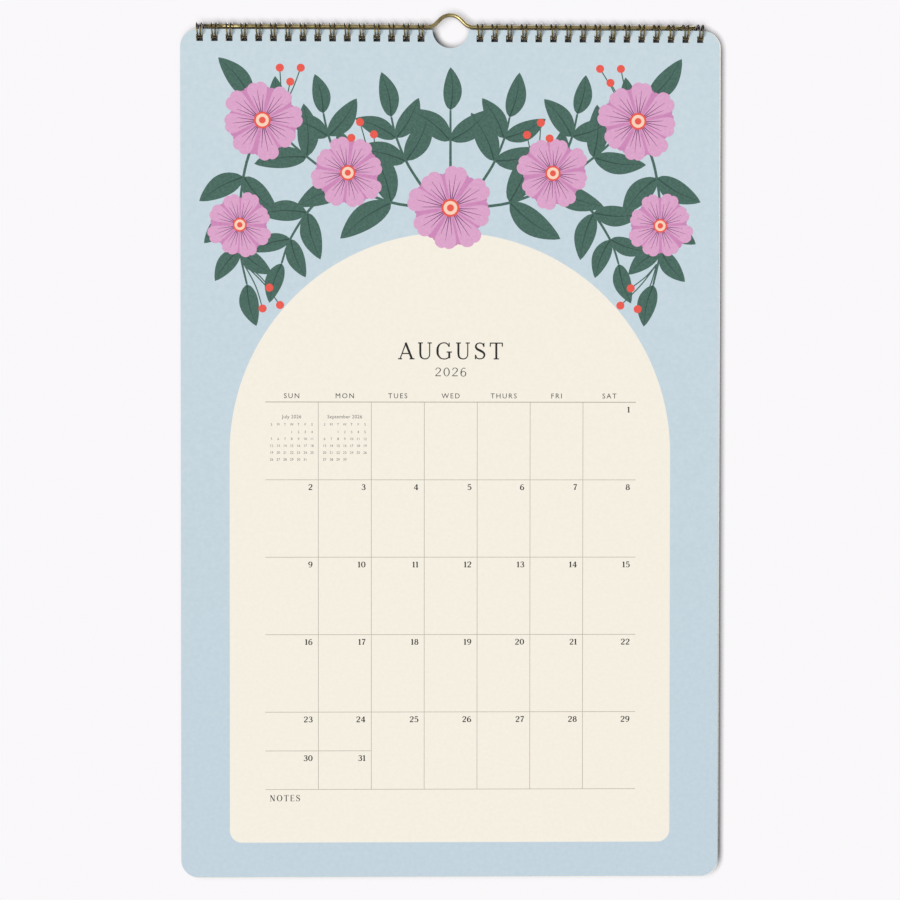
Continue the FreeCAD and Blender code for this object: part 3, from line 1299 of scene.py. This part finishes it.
@dataclass
class Studio:
    """The camera, the lamps, the near-white room and the shade on the wall behind the calendar.

    Angles are in degrees. `shades` gives the light left on the wall where a share of its sky is open.
    """

    sizes: SheetSizes
    view_width: float = 519.1
    aim_across: float = -0.15
    aim_down: float = 241.3
    distance: float = 800.0
    pitch_down: float = 0.8
    yaw_right: float = 0.7
    roll: float = 0.04
    sensor: float = 36.0
    wall_behind: float = 2.5
    wall_reach: float = 3000.0
    shade_way: tuple[float, float, float] = (-0.7, -0.6, -0.4)
    shade_reach: float = 5.5
    shade_samples: int = 16
    shades: tuple[Point, ...] = (
        (0.4, 0.0), (0.5, 0.17), (0.54, 0.28), (0.61, 0.43), (0.684, 0.58),
        (0.778, 0.72), (0.836, 0.81), (0.873, 0.9), (0.92, 0.955), (0.97, 1.0),
    )
    key_way: tuple[float, float, float] = (-0.50, -0.82, -0.28)
    key_spread: float = 38.0
    key_strength: float = 2.98
    back_way: tuple[float, float, float] = (0.4, 0.8, 0.45)
    back_spread: float = 60.0
    back_strength: float = 2.4
    fill_strength: float = 0.2

    def camera(self) -> None:
        """Sets the camera before the leaf, almost square to it, at the photograph's framing."""
        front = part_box("coming_leaves")[0].y / MM
        data = bpy.data.cameras.new("camera")
        data.sensor_width = self.sensor
        data.lens = self.sensor * self.distance / self.view_width
        data.clip_start, data.clip_end = 0.05, 20.0
        made = bpy.data.objects.new("camera", data)
        aim = Vector((self.aim_across, front, self.sizes.top - self.aim_down)) * MM
        yaw = Matrix.Rotation(math.radians(-self.yaw_right), 4, "Z")
        pitch = Matrix.Rotation(math.radians(90 - self.pitch_down), 4, "X")
        roll = Matrix.Rotation(math.radians(self.roll), 4, "Z")
        back = Matrix.Translation((0, 0, self.distance * MM))
        made.matrix_world = Matrix.Translation(aim) @ yaw @ pitch @ roll @ back
        bpy.context.scene.collection.objects.link(made)
        bpy.context.scene.camera = made

    def wall(self) -> None:
        """Hangs the calendar before a wall that shows as soft shade alone, so it hides nothing behind it."""
        tree = NodeTree("wall_shade")
        leaning = tree.add("ShaderNodeCombineXYZ", X=self.shade_way[0], Y=self.shade_way[1], Z=self.shade_way[2])
        nearby = tree.add("ShaderNodeAmbientOcclusion", Distance=self.shade_reach * MM)
        nearby.samples = self.shade_samples
        tree.link(leaning.outputs["Vector"], nearby.inputs["Normal"])
        light_left = tree.ramp(nearby.outputs["AO"], [(open_share, grey(light)) for open_share, light in self.shades])
        side = tree.add("ShaderNodeNewGeometry")
        clear = tree.add("ShaderNodeBsdfTransparent")
        tree.link(tree.mix(side.outputs["Backfacing"], light_left, grey(1.0)), clear.inputs["Color"])
        tree.link(clear.outputs["BSDF"], tree.output.inputs["Surface"])
        shape = bmesh.new()
        reach, back = self.wall_reach * MM, self.wall_behind * MM
        corners = [(-reach, back, -reach), (reach, back, -reach), (reach, back, reach), (-reach, back, reach)]
        shape.faces.new([shape.verts.new(c) for c in corners])
        made = Piece.from_bmesh(shape, "wall", tree.material)
        made.visible_diffuse = False
        made.visible_glossy = False
        made.visible_shadow = False

    def sun(self, name: str, towards: Vector, spread: float, strength: float) -> None:
        """Adds a broad, far lamp.

        Args:
            name: The lamp's name.
            towards: The way from the calendar to the lamp.
            spread: How wide the lamp looks from the calendar, in degrees.
            strength: Its light on a face square to it.
        """
        data = bpy.data.lights.new(name, "SUN")
        data.angle = math.radians(spread)
        data.energy = strength
        made = bpy.data.objects.new(name, data)
        made.rotation_euler = towards.to_track_quat("Z", "Y").to_euler()
        bpy.context.scene.collection.objects.link(made)

    def sky(self) -> None:
        """Lights the room softly and shows a near-white room behind everything."""
        world = bpy.data.worlds.new("room")
        bpy.context.scene.world = world
        world.use_nodes = True
        nodes, links = world.node_tree.nodes, world.node_tree.links
        nodes.clear()
        out = nodes.new("ShaderNodeOutputWorld")
        fill = nodes.new("ShaderNodeBackground")
        fill.inputs["Color"].default_value = linear(255, 254, 252)
        fill.inputs["Strength"].default_value = self.fill_strength
        seen = nodes.new("ShaderNodeBackground")
        seen.inputs["Color"].default_value = linear(250, 248, 250)
        seen.inputs["Strength"].default_value = 1.0
        path = nodes.new("ShaderNodeLightPath")
        seen_by = path.outputs["Is Camera Ray"]
        for ray in ("Is Glossy Ray", "Is Transmission Ray"):
            either = nodes.new("ShaderNodeMath")
            either.operation = "MAXIMUM"
            links.new(seen_by, either.inputs[0])
            links.new(path.outputs[ray], either.inputs[1])
            seen_by = either.outputs["Value"]
        mixed = nodes.new("ShaderNodeMixShader")
        links.new(seen_by, mixed.inputs["Fac"])
        links.new(fill.outputs["Background"], mixed.inputs[1])
        links.new(seen.outputs["Background"], mixed.inputs[2])
        links.new(mixed.outputs["Shader"], out.inputs["Surface"])

    def build(self) -> None:
        """Sets up the camera, the wall, the room and the lamps."""
        self.camera()
        self.wall()
        self.sky()
        self.sun("key_lamp", Vector(self.key_way), self.key_spread, self.key_strength)
        self.sun("back_lamp", Vector(self.back_way), self.back_spread, self.back_strength)
        bpy.context.scene.view_settings.view_transform = "Standard"


def main() -> None:
    """Builds the calendar's looks in order and reports each piece."""
    logging.basicConfig(level=logging.INFO, format="%(name)s: %(message)s")
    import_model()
    sizes = SheetSizes.from_frame()
    Studio(sizes).build()
    paper = linear(244, 242, 236)
    coming = SheetBlock(
        "coming_leaves", Body.COMING, Slot.PRINTED, count=5, foot_bow=1.4,
        finish=PaperFinish("leaf_paper", paper), spill_right=0.7, spill_foot=0.4,
    )
    ground = PrintedLeafFinish("printed_leaf", high=linear(203, 219, 227), low=linear(197, 214, 225), paper=paper)
    coming.build(sizes, ground.material())
    press = PrintPress(coming.bow_of(sizes, 0))
    inks = Inks.mixed()
    press.lay("cream_arch", ArchPanel().shape(), 1, inks.cream)
    MonthTable().build(press, inks)
    Ornament().build(press, inks)
    card = PaperFinish("card", linear(240, 230, 208), cloud=0.04, tooth=0.5)
    cover = PaperFinish("cover", linear(243, 239, 226))
    turned = PaperFinish("turned_paper", linear(243, 242, 238))
    SheetBlock("backing_card", Body.BINDING, Slot.CARD, 1, 0.0, card, spill_right=0.2, spill_foot=0.9).build(sizes)
    SheetBlock("front_cover", Body.TURNED, Slot.COVER, 1, 0.0, cover).build(sizes)
    SheetBlock("turned_leaves", Body.TURNED, Slot.TURNED, 7, -0.8, turned).build(sizes)
    gold = WireFinish("gold_wire", linear(104, 93, 60), dark=linear(76, 67, 41), rubbed=sizes.top * MM).material()
    for side in (-1, 1):
        TwinLoopWire(side, sizes).build(gold)
    brass = WireFinish("brass_wire", linear(144, 132, 92), dark=linear(110, 100, 66), roughness=0.24)
    HangerWire.from_frame().build(brass.material())


if __name__ == "__main__":
    main()
